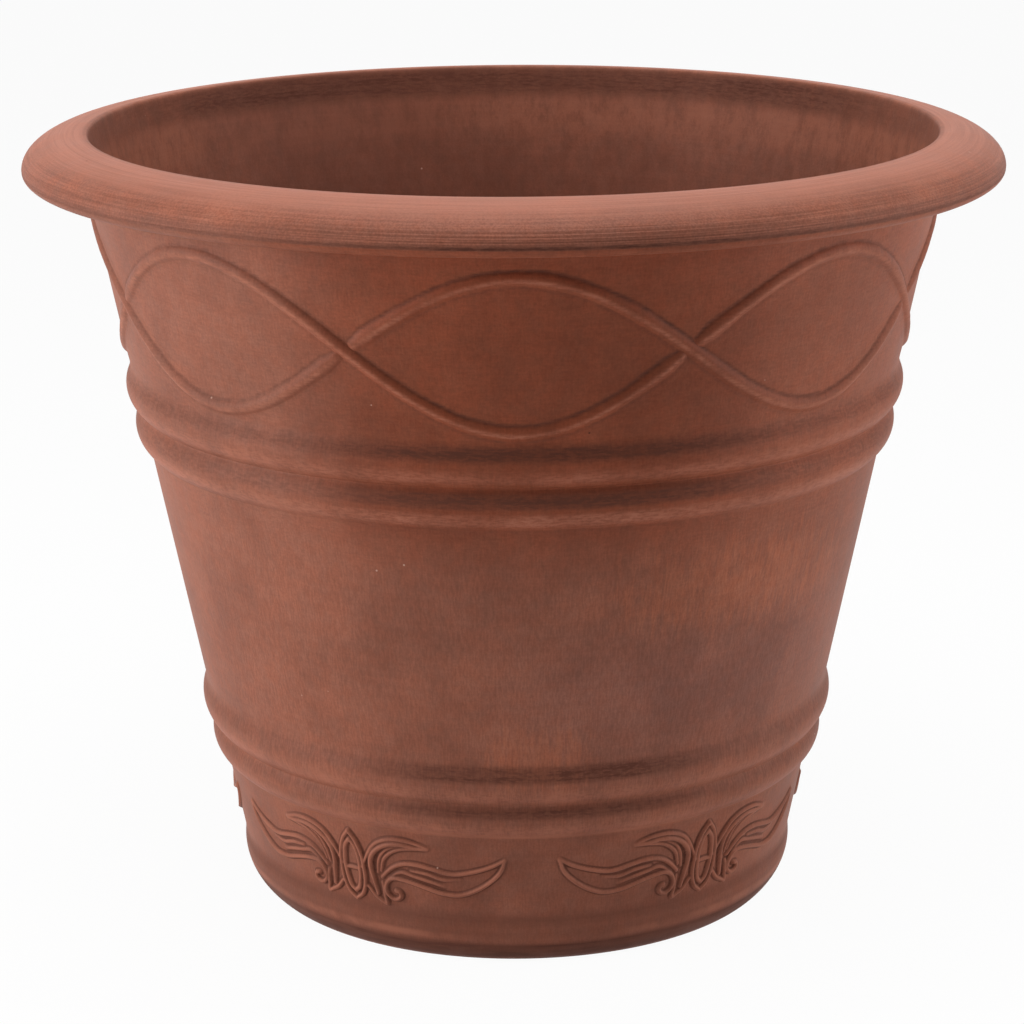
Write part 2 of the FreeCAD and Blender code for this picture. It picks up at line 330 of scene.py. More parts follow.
# Weights: clouds in the ground, strokes in a patch, lines off the rim, what is left of the rubbing and
# painted light low down at the right, and wear on the stopper
CLOUD_WEIGHT = 0.6
STROKE_WEIGHT = 1.7
LINE_WEIGHT = 0.15
LOW_RUB_AND_LIGHT_WEIGHT = 0.62
HANDLED_WEIGHT = 0.6
# Specks and pits: scale of their cells, edge of a dot, which cells have one, and its strength
SPECK_SCALE = 75.0
SPECK_EDGE = (0.050, 0.026)
SPECK_CHANCE = (0.91, 0.92)
PIT_CHANCE = (0.97, 0.975)
SPECK_STRENGTH = 0.7
PIT_STRENGTH = 0.8
# Shares of the textures in the bumps
THREAD_BUMP = 0.25
LINEN_BUMP = 0.70
LINE_BUMP = 0.15
RIM_LINE_BUMP = 0.95
GRAIN_BUMP = 0.35
BLOTCH_BUMP = 0.9
SPOT_BUMP = 0.5
# Gloss and roughness of the clay, what hollows and blotches add to it, and the bumps' strength and depth
CLAY_SPECULAR = 0.09
CLAY_ROUGHNESS = 0.44
HOLLOW_ROUGHNESS = 0.12
BLOTCH_ROUGHNESS = 0.16
CLAY_BUMPS = (0.35, 0.0006)
RUBBER_BUMPS = (0.25, 0.0003)
# Added to the distance from the axis, so that there is a direction on the axis too
NEAR_AXIS = 1e-5

# The studio: how bright the world lights, how much of the floor is plain white, and half the floor's width
WHITE = (1, 1, 1, 1)
WORLD_LIGHT = 0.04
FLOOR_COLOUR = (0.86, 0.86, 0.86, 1)
FLOOR_WHITE = 0.955
FLOOR_HALF = 12.0
# Softboxes: name, place, the point they face, width, height and watts
SOFTBOXES = (
    ("left_box", (-1.42, -0.42, 0.45), (0.0, 0.0, 0.25), 1.2, 1.0, 19.0),
    ("right_box", (1.46, -0.22, 0.45), (0.0, 0.0, 0.25), 1.2, 1.0, 10.8),
    ("top_box", (0.0, 0.35, 1.85), (0.0, 0.0, 0.30), 1.4, 1.4, 15.0),
    ("front_box", (0.0, -0.60, 1.90), (0.0, -0.2, 0.0), 1.2, 1.0, 15.0),
)
# The camera, with its sensor and focal length in millimetres
CAMERA_PLACE = Vector((0.0, -1.650, 0.6602))
CAMERA_TARGET = Vector((-0.0018, 0.0, 0.1993))
CAMERA_ROLL = math.radians(-0.30)
SENSOR_WIDTH = 36.0
FOCAL_LENGTH = 112.09


def wall_radius(level):
    return WALL_BASE_RADIUS + (level - BASE_TOP) * math.tan(DRAFT)


def band_radius(level):
    """Radius of the leaf band, which lies a little back from the cone."""
    return wall_radius(level) - BAND_INSET


def inner_radius(level):
    return wall_radius(level) - WALL_THICKNESS / math.cos(DRAFT)


def smoothstep(low, high, value):
    share = np.clip((value - low) / (high - low), 0.0, 1.0)
    return share * share * (3.0 - 2.0 * share)


def bump(value, middle, half):
    """1 at the middle, falling smoothly to 0 at half a width from it."""
    return 1.0 - smoothstep(0.0, half, np.abs(value - middle))


# Profiles of turned pieces, as lists of (radius, level) that go round with the material on their left

def straight(start, end):
    count = int(math.dist(start, end) / PROFILE_STEP) + 2
    return np.linspace(start, end, count)


def bead(start, end, bulge):
    """An arc from crease to crease that stands out by bulge at its middle."""
    start, end = np.array(start), np.array(end)
    chord = end - start
    length = math.hypot(*chord)
    outward = np.array([chord[1], -chord[0]]) / length
    radius = (length * length / 4 + bulge * bulge) / (2 * bulge)
    half = math.asin(length / 2 / radius)
    turn = np.linspace(-half, half, int(2 * half * radius / PROFILE_STEP) + 2)[:, None]
    centre = (start + end) / 2 + outward * (bulge - radius)
    return centre + radius * (np.sin(turn) * chord / length + np.cos(turn) * outward)


def quarter(start, corner, end):
    """A quarter of an ellipse that runs along both sides of its corner."""
    start, corner, end = (np.array(p) for p in (start, corner, end))
    handle = 0.5523
    count = int((math.dist(start, corner) + math.dist(corner, end)) / PROFILE_STEP) + 2
    t = np.linspace(0.0, 1.0, count)[:, None]
    leaving, arriving = start + (corner - start) * handle, end + (corner - end) * handle
    return ((1 - t) ** 3 * start + 3 * (1 - t) ** 2 * t * leaving
            + 3 * (1 - t) * t ** 2 * arriving + t ** 3 * end)


def lengths_along(points):
    """The length of a line up to each of its points."""
    return np.concatenate([[0.0], np.cumsum(np.hypot(*np.diff(points, axis=0).T))])


def even_loop(runs):
    """A closed profile at even steps from runs that join end to end."""
    points = np.vstack(runs)
    points = np.vstack([points, points[:1]])
    steps = np.hypot(*np.diff(points, axis=0).T)
    points = points[np.concatenate([[True], steps > SAME_POINT])]
    along = lengths_along(points)
    places = np.arange(0.0, along[-1] - PROFILE_STEP / 2, PROFILE_STEP)
    return np.stack([np.interp(places, along, points[:, k]) for k in (0, 1)], axis=1)


def blur_weights(reach, step):
    """Whole steps to either side and how much each counts in a blur over a length."""
    spread = reach / step
    taps = np.arange(-int(3 * spread), int(3 * spread) + 1)
    weights = np.exp(-0.5 * (taps / spread) ** 2)
    return taps, weights / weights.sum()


def blur_loop(values, reach):
    """Values round a closed profile, blurred over a length."""
    taps, weights = blur_weights(reach, PROFILE_STEP)
    return sum(weight * np.roll(values, tap, axis=0) for tap, weight in zip(taps, weights))


def loop_normals(points):
    run = np.roll(points, -1, axis=0) - np.roll(points, 1, axis=0)
    run /= np.hypot(*run.T)[:, None]
    return np.stack([run[:, 1], -run[:, 0]], axis=1)


def loop_wear(points, normals):
    """Above zero on edges that stand out and below zero in creases, from fine and broad bends."""
    wear_and_shading = np.zeros(len(points))
    for reach, full in WEAR_BENDS:
        stands_out = ((points - blur_loop(points, reach)) * normals).sum(axis=1)
        wear_and_shading += BEND_WEAR * np.clip(stands_out / full, -1.0, 1.0)
    return wear_and_shading


def is_outside(points):
    return points[:, 0] > inner_radius(points[:, 1]) + OUTSIDE_MARGIN


def pot_wear_and_shading(points, normals):
    """The bends of the section, with the paint on its beads, rings, foot and mouth: wash and rubbing mixed
    with painted shade and painted highlights on the beads and rings, and painted shade round the foot and in
    the mouth.
    """
    radius, level = points.T
    outside, on_rim = is_outside(points), radius > LIP_RADIUS
    in_mouth = radius < inner_radius(level) + MOUTH_MARGIN
    wear_and_shading = loop_wear(points, normals)
    for low, high, middle, dark, bright in BEAD_WASH_AND_SHADING:
        share = (level - low) / (high - low)
        wear_and_shading -= dark * bump(share, middle, BEAD_PAINT_REACH) * outside
        wear_and_shading += bright * bump(share, BEAD_RUB_AND_LIGHT_PLACE, BEAD_PAINT_REACH) * outside
    for rings, where in ((WALL_SHADING_RINGS, outside), (RIM_WASH_AND_SHADE_RINGS, on_rim)):
        for strength, middle, half in rings:
            wear_and_shading += strength * bump(level, middle, half) * where
    wear_and_shading -= FOOT_SHADE * (1.0 - smoothstep(*FOOT_SHADE_END, level)) * outside
    wear_and_shading -= MOUTH_SHADE * smoothstep(*MOUTH_SHADE_START, level) * in_mouth
    return np.clip(wear_and_shading, -1.0, 1.0)


def thinned(rows):
    """Places on a loop that keep every row of values within the tolerance, with no span too long."""
    kept, start, count = [0], 0, len(rows)
    longest = int(PROFILE_SPAN / PROFILE_STEP)
    while start < count - 1:
        end = min(start + 2, count - 1)
        while end < count - 1 and end - start < longest:
            share = np.linspace(0.0, 1.0, end - start + 2)[:, None]
            chord = rows[start] + (rows[end + 1] - rows[start]) * share
            if np.abs(rows[start:end + 2] - chord).max() > PROFILE_TOLERANCE:
                break
            end += 1
        kept.append(end)
        start = end
    return np.array(kept)


def pot_section():
    """The pot's whole section with sharp creases and edges."""
    base, leaf_end = [(band_radius(z), z) for z in (BASE_TOP, LEAF_TOP)]
    creases = [(wall_radius(z), z) for z in (LOWER_GROOVE, LOWER_TOP, PLAIN_TOP, UPPER_GROOVE, UPPER_TOP,
                                             LIP_LEVEL)]
    low_groove, low_end, plain_end, up_groove, up_end, wall_end = creases
    hole_under, hole_over = (DRAIN_RADIUS, FOOT_RECESS), (DRAIN_RADIUS, FLOOR_LEVEL)
    ring_foot, foot = (FOOT_RADIUS - FOOT_RING, 0.0), (FOOT_RADIUS, 0.0)
    ring_root = (FOOT_RADIUS - FOOT_RING - FOOT_RECESS, FOOT_RECESS)
    lip, nose = (LIP_RADIUS, LIP_LEVEL), (NOSE_RADIUS, NOSE_LEVEL)
    crest = (inner_radius(HEIGHT) + MOUTH_EDGE, HEIGHT)
    inside_top = (inner_radius(HEIGHT - MOUTH_EDGE), HEIGHT - MOUTH_EDGE)
    corner = (inner_radius(FLOOR_LEVEL), FLOOR_LEVEL)
    wall_foot = (inner_radius(FLOOR_LEVEL + FLOOR_CORNER), FLOOR_LEVEL + FLOOR_CORNER)
    floor_edge = (corner[0] - FLOOR_CORNER, FLOOR_LEVEL)
    return even_loop([
        straight(hole_under, ring_root), straight(ring_root, ring_foot), straight(ring_foot, foot),
        bead(foot, base, BASE_BULGE), straight(base, leaf_end),
        bead(leaf_end, low_groove, LOWER_BULGE), bead(low_groove, low_end, LOWER_BULGE),
        straight(low_end, plain_end),
        bead(plain_end, up_groove, UPPER_BULGE), bead(up_groove, up_end, UPPER_BULGE),
        straight(up_end, wall_end), straight(wall_end, lip),
        quarter(lip, (NOSE_RADIUS, LIP_LEVEL), nose), quarter(nose, (NOSE_RADIUS, HEIGHT), crest),
        quarter(crest, (inner_radius(HEIGHT), HEIGHT), inside_top),
        straight(inside_top, wall_foot), quarter(wall_foot, corner, floor_edge),
        straight(floor_edge, hole_over), straight(hole_over, hole_under),
    ])


def pot_loop():
    """The pot's section, with its edges softened and the turned lines in the rim's face."""
    sharp = pot_section()
    hollows = is_outside(sharp) * sum(bump(sharp[:, 1], level, HOLLOW_REACH)
                                      for level in (BASE_TOP, LOWER_TOP, UPPER_TOP))
    soft, softer = blur_loop(sharp, EDGE_SOFTNESS), blur_loop(sharp, HOLLOW_SOFTNESS)
    loop = soft + hollows[:, None] * (softer - soft)
    face = loop[:, 0] > LIP_RADIUS + RIM_FACE_MARGIN
    above_nose = loop[:, 1] - NOSE_LEVEL
    depth = sum(deep * np.exp(-((above_nose - up) / RIM_LINE_WIDTH) ** 2) for up, deep in RIM_LINES)
    return loop - loop_normals(loop) * (depth * face)[:, None]


def stopper_loop():
    """The stopper's section: tapered stem, flange, neck and a rounded knob."""
    low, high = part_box("drain_plug")
    bottom, top, flange = low[2], high[2], high[0]
    seat = FLOOR_LEVEL + STOPPER_GAP
    flange_top = seat + FLANGE_THICKNESS
    neck_top = flange_top + NECK_HEIGHT
    stem = DRAIN_RADIUS - STEM_GAP
    knob_foot, knob_end = (NECK_RADIUS, neck_top), (NECK_RADIUS, top)
    corners = [(AXIS_GAP, bottom), (stem - STEM_TAPER, bottom), (stem, seat), (flange, seat),
               (flange, flange_top), (NECK_RADIUS, flange_top), knob_foot]
    runs = [straight(*pair) for pair in zip(corners, corners[1:])]
    runs.append(bead(knob_foot, knob_end, KNOB_RADIUS - NECK_RADIUS))
    runs += [straight(knob_end, (AXIS_GAP, top)), straight((AXIS_GAP, top), (AXIS_GAP, bottom))]
    return blur_loop(even_loop(runs), EDGE_SOFTNESS)


# Meshes and pieces

def new_mesh(name, places, faces, wear_and_shading):
    mesh = bpy.data.meshes.new(name)
    mesh.from_pydata(places.tolist(), [], faces.tolist())
    mesh.shade_smooth()
    mesh.attributes.new("wear_and_shading", "FLOAT", "POINT").data.foreach_set("value", wear_and_shading.astype(np.float32))
    return mesh


def new_object(name, data):
    made = bpy.data.objects.new(name, data)
    bpy.context.collection.objects.link(made)
    return made


def new_piece(mesh, body, node, material):
    piece = new_object(mesh.name, mesh)
    mesh.materials.append(material)
    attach(piece, body)
    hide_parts(node)


def turned_mesh(name, loop, wear_and_shading_of, steps):
    """The surface that a closed profile makes round Z, with the normals of the full profile."""
    normals = loop_normals(loop)
    wear_and_shading = wear_and_shading_of(loop, normals)
    kept = thinned(np.column_stack([loop, wear_and_shading * WEAR_LENGTH]))
    loop, normals, wear_and_shading = loop[kept], normals[kept], wear_and_shading[kept]
    azimuths = np.arange(steps) * 2 * math.pi / steps
    around = np.stack([np.sin(azimuths), -np.cos(azimuths)], axis=1)

    def spun(pairs):
        flat = pairs[:, None, :1] * around[None]
        up = np.repeat(pairs[:, None, 1:], steps, axis=1)
        return np.concatenate([flat, up], axis=2).reshape(-1, 3)

    i, j = np.meshgrid(np.arange(len(loop)), np.arange(steps), indexing="ij")
    after_i, after_j = (i + 1) % len(loop), (j + 1) % steps
    corners = [(i, j), (i, after_j), (after_i, after_j), (after_i, j)]
    faces = np.stack([a * steps + b for a, b in corners], axis=2).reshape(-1, 4)
    mesh = new_mesh(name, spun(loop), faces, np.repeat(wear_and_shading, steps))
    mesh.normals_split_custom_set_from_vertices(spun(normals).tolist())
    return mesh


# Relief on the wall

def on_wall(azimuth, level, lift, radius_at):
    """Points that stand out from the wall, whose radius is given at each level."""
    radius = radius_at(level) + lift * math.cos(DRAFT)
    return np.stack([radius * np.sin(azimuth), -radius * np.cos(azimuth),
                     level - lift * math.sin(DRAFT)], axis=-1)


def patch_mesh(name, azimuth, level, lift, wear_and_shading, radius_at):
    """A grid of points on the wall, without the cells that lie wholly under it."""
    number = np.arange(lift.size).reshape(lift.shape)
    corners = [number[:-1, :-1], number[1:, :-1], number[1:, 1:], number[:-1, 1:]]
    faces = np.stack(corners, axis=2).reshape(-1, 4)
    faces = faces[(lift.ravel()[faces] > 0).any(axis=1)]
    used, renumbered = np.unique(faces, return_inverse=True)
    places = on_wall(azimuth, level, lift, radius_at).reshape(-1, 3)[used]
    return new_mesh(name, places, renumbered.reshape(-1, 4), wear_and_shading.ravel()[used])


def wave_line():
    """One wave of a cord and a little more at each end: phase, level, climb, pace and length so far."""
    reach = STRAND_SKIRT / wall_radius(WAVE_CENTRE)
    phase = np.linspace(-QUARTER_WAVE - reach, 3 * QUARTER_WAVE + reach, STRAND_POINTS)
    level = WAVE_CENTRE + WAVE_RISE * np.cos(WAVES * phase)
    climb = -WAVE_RISE * WAVES * np.sin(WAVES * phase) / math.cos(DRAFT)
    pace = np.hypot(wall_radius(level), climb)
    along = np.concatenate([[0.0], np.cumsum((pace[1:] + pace[:-1]) / 2 * np.diff(phase))])
    return phase, level, climb, pace, along


def strand_sizes(along, from_end, number):
    """Half width and height along one strand, uneven and smaller at its tips."""
    uneven = np.array([sum(strength * noise.noise(Vector((s * steps, number * STRAND_SHIFT, place)))
                           for strength, steps, place in UNEVENNESS) for s in along])
    last_stretch, tip = (1.0 - smoothstep(*ends, from_end) for ends in (LAST_STRETCH, TIP_STRETCH))
    changes = np.stack([uneven, last_stretch, tip], axis=1)
    return [size * (1.0 + changes @ np.array(shares))
            for size, shares in ((STRAND_HALF, WIDTH_CHANGES), (STRAND_HEIGHT, HEIGHT_CHANGES))]


def strand_rows():
    """Places across a strand's patch, closer together in the middle."""
    even = np.linspace(-1.0, 1.0, STRAND_ROWS)
    crowded = ROW_SHARE * np.sin(even * ROW_BEND) / math.sin(ROW_BEND) + (1.0 - ROW_SHARE) * even ** 3
    return STRAND_SKIRT * crowded


def strand_mesh(name, turn, number):
    """One wave of a cord: over the strand it crosses in its middle, and held back from two at its ends."""
    phase, level, climb, pace, along = wave_line()
    radius = wall_radius(level)
    first, last = np.interp([-QUARTER_WAVE, 3 * QUARTER_WAVE], phase, along)
    from_end = np.minimum(along - first, last - along) - STRAND_HELD_BACK
    past = np.maximum(-from_end, 0.0)[:, None]
    half, crown = (size[:, None] for size in strand_sizes(along, from_end, number))
    offset = strand_rows()[None, :]
    share = offset / half

    core = np.maximum(1.0 - np.hypot(share, past / STRAND_CAP) ** 2, 0.0) ** STRAND_ROUNDNESS
    from_line = np.hypot(offset, TIP_SQUEEZE * past)
    skirt = np.exp(-(from_line / SKIRT_SPREAD) ** 2)
    fade = 1.0 - smoothstep(SKIRT_FADE, STRAND_SKIRT, from_line)
    lift = crown * core + SKIRT_LIFT * skirt + BEDDING * (2.0 * fade - 1.0)
    # Dark wash with painted shade above the strand, painted shadow below it, and rubbing with a painted
    # highlight near its crest
    paint = sum(strength * bump(share, place, reach) for strength, place, reach in STRAND_WASH_AND_SHADING)
    wear_and_shading = np.exp(-(past / STRAND_CAP) ** 2) * paint * fade
    azimuth = turn + phase[:, None] - offset * (climb / pace / radius)[:, None]
    levels = level[:, None] + offset * (radius / pace * math.cos(DRAFT))[:, None]
    return patch_mesh(name, azimuth, levels, lift, np.clip(wear_and_shading, -1.0, 1.0), wall_radius)


# Ridges of half a spray: points as shares of its half width and height, half width and height of the
# ridge in millimetres, and how much of it is left at its first and last point
BUD_LOOP = [(0, 0), (0.052, 0.10), (0.080, 0.27), (0.084, 0.47), (0.076, 0.68), (0.048, 0.86), (0, 1)]
BUD_RING = [(0, 0.12), (0.035, 0.20), (0.052, 0.40), (0.052, 0.60), (0.035, 0.78), (0, 0.88)]
BUD_BAR = [(0, 0.46), (0.05, 0.46)]
SICKLE_BACK = [(0.073, 0.50), (0.131, 0.738), (0.188, 0.888), (0.261, 0.971), (0.338, 1.0), (0.411, 0.99),
               (0.471, 0.957), (0.532, 0.914)]
SICKLE_RIB = [(0.166, 0.145), (0.150, 0.35), (0.137, 0.552), (0.153, 0.70), (0.20, 0.824), (0.277, 0.914),
              (0.366, 0.938), (0.459, 0.907), (0.525, 0.905)]
SICKLE_VEIN = [(0.181, 0.455), (0.20, 0.65), (0.242, 0.793), (0.309, 0.879), (0.395, 0.905)]
SICKLE_BELLY = [(0.207, 0.488), (0.232, 0.667), (0.283, 0.786), (0.35, 0.86), (0.43, 0.888), (0.51, 0.90)]
SICKLE_FOOT = [(0.096, 0.226), (0.143, 0.107), (0.191, 0.045), (0.226, 0.012), (0.217, 0.131), (0.207, 0.321)]
LEAF_UPPER = [(0.21, 0.40), (0.258, 0.51), (0.318, 0.607), (0.385, 0.655), (0.462, 0.66), (0.548, 0.626),
              (0.637, 0.583), (0.70, 0.578), (0.78, 0.612), (0.86, 0.662), (0.933, 0.726), (1.0, 0.81)]
LEAF_LOWER = [(1.0, 0.81), (0.971, 0.631), (0.911, 0.488), (0.834, 0.369), (0.752, 0.288), (0.685, 0.262),
              (0.589, 0.283), (0.51, 0.331), (0.427, 0.379), (0.357, 0.407), (0.303, 0.415), (0.262, 0.385),
              (0.236, 0.31), (0.230, 0.22), (0.247, 0.14), (0.280, 0.10), (0.312, 0.115), (0.330, 0.165),
              (0.322, 0.215), (0.298, 0.225)]
LEAF_RIB = [(0.258, 0.414), (0.344, 0.514), (0.43, 0.481), (0.532, 0.429), (0.615, 0.376)]
LEAF_VEIN = [(0.411, 0.557), (0.516, 0.54), (0.618, 0.481), (0.723, 0.50)]
RIDGES = [
    (BUD_LOOP, 1.4, 1.6, 1.0, 1.0), (BUD_RING, 1.7, 1.4, 1.0, 1.0), (BUD_BAR, 1.4, 1.1, 1.0, 1.0),
    (SICKLE_BACK, 1.3, 1.5, 0.8, 0.3), (SICKLE_RIB, 1.9, 2.1, 0.6, 0.3), (SICKLE_VEIN, 1.2, 1.2, 0.5, 0.4),
    (SICKLE_BELLY, 1.2, 1.3, 0.5, 0.4), (SICKLE_FOOT, 1.4, 1.5, 0.6, 0.5),
    (LEAF_UPPER, 1.4, 1.6, 0.7, 0.5), (LEAF_LOWER, 1.4, 1.7, 0.5, 1.1),
    (LEAF_RIB, 1.2, 0.9, 0.5, 0.2), (LEAF_VEIN, 1.2, 0.8, 0.4, 0.2),
]


def curve_through(points, step):
    """Points at even steps along a smooth curve through the given points."""
    p = np.array(points)
    p = np.vstack([2 * p[0] - p[1], p, 2 * p[-1] - p[-2]])
    t = np.linspace(0.0, 1.0, CURVE_POINTS, endpoint=False)[:, None]
    runs = [0.5 * (2 * b + (c - a) * t + (2 * a - 5 * b + 4 * c - d) * t ** 2
                   + (3 * b - a - 3 * c + d) * t ** 3)
            for a, b, c, d in zip(p, p[1:], p[2:], p[3:])]
    line = np.vstack(runs + [p[-2:-1]])
    along = lengths_along(line)
    places = np.linspace(0.0, along[-1], int(along[-1] / step) + 2)
    return np.stack([np.interp(places, along, line[:, k]) for k in (0, 1)], axis=1)


def blur_grid(values, reach):
    weights = blur_weights(reach, SPRAY_CELL)[1]
    for axis in (0, 1):
        values = np.apply_along_axis(lambda row: np.convolve(row, weights, mode="same"), axis, values)
    return values


def spray_relief():
    """Places across and up, and the height of the ridges and of their skirts over half a spray."""
    width = SPRAY_RADIUS * SPRAY_HALF_ANGLE
    across = np.arange(0.0, width + SPRAY_MARGIN, SPRAY_CELL)
    up = np.arange(SPRAY_LOW - SPRAY_BELOW, SPRAY_LOW + SPRAY_HEIGHT + SPRAY_MARGIN, SPRAY_CELL)
    grid_across, grid_up = np.meshgrid(across, up, indexing="ij")
    ridge, skirt = np.zeros(grid_across.shape), np.zeros(grid_across.shape)
    for points, half, height, first, last in RIDGES:
        line = curve_through([(a * width, SPRAY_LOW + b * SPRAY_HEIGHT) for a, b in points], RIDGE_STEP)
        share = np.linspace(0.0, 1.0, len(line))
        left = np.minimum(first + (1 - first) * np.minimum(share / RIDGE_RISE, 1.0),
                          last + (1 - last) * np.minimum((1 - share) / RIDGE_RISE, 1.0))
        for (a, b), part in zip(line, left):
            reach = half * MILLIMETRE * (RIDGE_THIN + (1.0 - RIDGE_THIN) * part)
            window = tuple(slice(*np.searchsorted(places, (middle - RIDGE_REACH, middle + RIDGE_REACH)))
                           for places, middle in ((across, a), (up, b)))
            away = (grid_across[window] - a) ** 2 + (grid_up[window] - b) ** 2
            rounded = np.maximum(1.0 - away / reach ** 2, 0.0) ** RIDGE_ROUNDNESS
            ridge[window] = np.maximum(ridge[window], height * MILLIMETRE * part * rounded)
            spread = np.exp(-away / RIDGE_SKIRT ** 2) * np.maximum(1.0 - away / RIDGE_REACH ** 2, 0.0)
            skirt[window] = np.maximum(skirt[window], spread)
    return across, up, ridge, skirt


def spray_meshes():
    """The number and mesh of each spray: the same relief, mirrored about its bud, at even turns."""
    across, up, ridge, skirt = spray_relief()
    ridge, skirt = (np.vstack([half[:0:-1], half]) for half in (ridge, skirt))
    across = np.concatenate([-across[:0:-1], across])
    lift = SPRAY_RELIEF * blur_grid(ridge, RIDGE_BLUR) + SKIRT_LIFT * skirt - BEDDING
    stands_out = (lift - blur_grid(lift, RIDGE_AROUND)) / RIDGE_FULL
    wear_and_shading = np.clip(stands_out, RIDGE_WASH, 1.0) * np.minimum(skirt * SKIRT_WEAR, 1.0)
    level = np.repeat(up[None, :], len(across), axis=0)
    for number in range(1, SPRAYS + 1):
        turn = SPRAY_TURN + (number - 1) * 2 * math.pi / SPRAYS
        azimuth = np.repeat((turn + across / SPRAY_RADIUS)[:, None], len(up), axis=1)
        name = "leaf_spray_relief_%d" % number
        yield number, patch_mesh(name, azimuth, level, lift, wear_and_shading, band_radius)


# Materials

class Tree:
    """Short calls for the nodes of a material or a world."""

    def __init__(self, owner):
        owner.use_nodes = True
        self.owner = owner
        self.nodes, self.links = owner.node_tree.nodes, owner.node_tree.links

    def add(self, kind, inputs, output=0, **settings):
        node = self.nodes.new("ShaderNode" + kind)
        for key, value in settings.items():
            setattr(node, key, value)
        for key, value in inputs.items():
            self.feed(node.inputs[key], value)
        return node.outputs[output]

    def feed(self, socket, value):
        if isinstance(value, bpy.types.NodeSocket):
            self.links.new(value, socket)
        else:
            socket.default_value = value

    def maths(self, operation, *values):
        return self.add("Math", dict(enumerate(values)), operation=operation)

    def times(self, first, *others):
        """The product of all the values."""
        for other in others:
            first = self.maths("MULTIPLY", first, other)
        return first

    def rest(self, share):
        """What a share leaves of 1."""
        return self.maths("SUBTRACT", 1.0, share)

    def between(self, value, low, high, to_low=0.0, to_high=1.0):
        """A smooth step of a value from one range to another."""
        return self.add("MapRange", {0: value, 1: low, 2: high, 3: to_low, 4: to_high},
                        interpolation_type="SMOOTHSTEP")

    def noise(self, place, scale, detail, roughness):
        inputs = {"Vector": place, "Scale": scale, "Detail": detail, "Roughness": roughness}
        return self.add("TexNoise", inputs)

    def blend(self, share, first, second):
        """A value between two values."""
        return self.add("Mix", {"Factor": share, 2: first, 3: second})

    def mix(self, share, first, second, kind="MIX"):
        """A colour between two colours."""
        inputs = {"Factor": share, 6: first, 7: second}
        return self.add("Mix", inputs, output=2, data_type="RGBA", blend_type=kind)

    def tint(self, share, colour, factor):
        """A colour multiplied by another, as far as the share says."""
        return self.mix(share, colour, factor, kind="MULTIPLY")

    def grey(self, value):
        return self.add("CombineColor", {0: value, 1: value, 2: value})

    def varied(self, share, colour, texture, depth):
        """A colour made lighter and darker by a texture, by a depth to either side."""
        factor = self.between(texture, *NOISE_RANGE, self.rest(depth), self.maths("ADD", 1.0, depth))
        return self.tint(share, colour, self.grey(factor))

    def locate(self):
        """The object's own coordinates: point, level, distance from the axis and direction from it."""
        self.point = self.add("TexCoord", {}, output="Object")
        axes = self.nodes.new("ShaderNodeSeparateXYZ")
        self.feed(axes.inputs[0], self.point)
        x, y, self.level = axes.outputs
        squares = [self.times(axis, axis) for axis in (x, y)]
        self.radius = self.maths("SQRT", self.maths("ADD", *squares))
        off_axis = self.maths("ADD", self.radius, NEAR_AXIS)
        self.unit = [self.maths("DIVIDE", axis, off_axis) for axis in (x, y)]

    def wound_noise(self, height, across, up, detail, roughness):
        """Noise with its own scales round the pot and along a height, with no seam."""
        x, y = (self.times(axis, across) for axis in self.unit)
        place = self.add("CombineXYZ", {0: x, 1: y, 2: self.times(height, up)})
        return self.noise(place, 1.0, detail, roughness)

    def at_levels(self, start, full, to_low=0.0, to_high=1.0):
        """A smooth step from one level to another."""
        return self.between(self.level, start, full, to_low, to_high)

    def in_band(self, start, full, fading, end):
        """1 in the middle of a band of levels, fading to 0 at both its edges."""
        return self.times(self.at_levels(start, full), self.at_levels(end, fading))

    def facing(self, azimuth):
        """1 towards an azimuth in degrees, -1 away from it."""
        turn = math.radians(azimuth)
        x, y = self.unit
        return self.maths("MULTIPLY_ADD", x, math.sin(turn), self.times(y, -math.cos(turn)))

    def towards(self, azimuth, start, full, to_low, to_high):
        """A smooth step round the pot, towards an azimuth."""
        return self.between(self.facing(azimuth), start, full, to_low, to_high)

    def spot(self, azimuth, half_angle, level, half_height):
        """1 in the middle of a patch of the wall, fading to 0 at its edge."""
        edge = math.cos(math.radians(half_angle))
        away = self.maths("ABSOLUTE", self.maths("SUBTRACT", self.level, level))
        return self.times(self.between(self.facing(azimuth), edge, 1.0), self.between(away, half_height, 0.0))

    def read_wear_and_shading(self):
        return self.add("Attribute", {}, output="Fac", attribute_name="wear_and_shading")

    def surface(self, colour, roughness, height, strength, distance):
        """The material's own shader, given its colour, roughness and bumps."""
        shader = self.nodes["Principled BSDF"]
        bumps = self.add("Bump", {"Height": height, "Strength": strength, "Distance": distance})
        for name, value in (("Base Color", colour), ("Roughness", roughness), ("Normal", bumps)):
            self.feed(shader.inputs[name], value)
        return shader


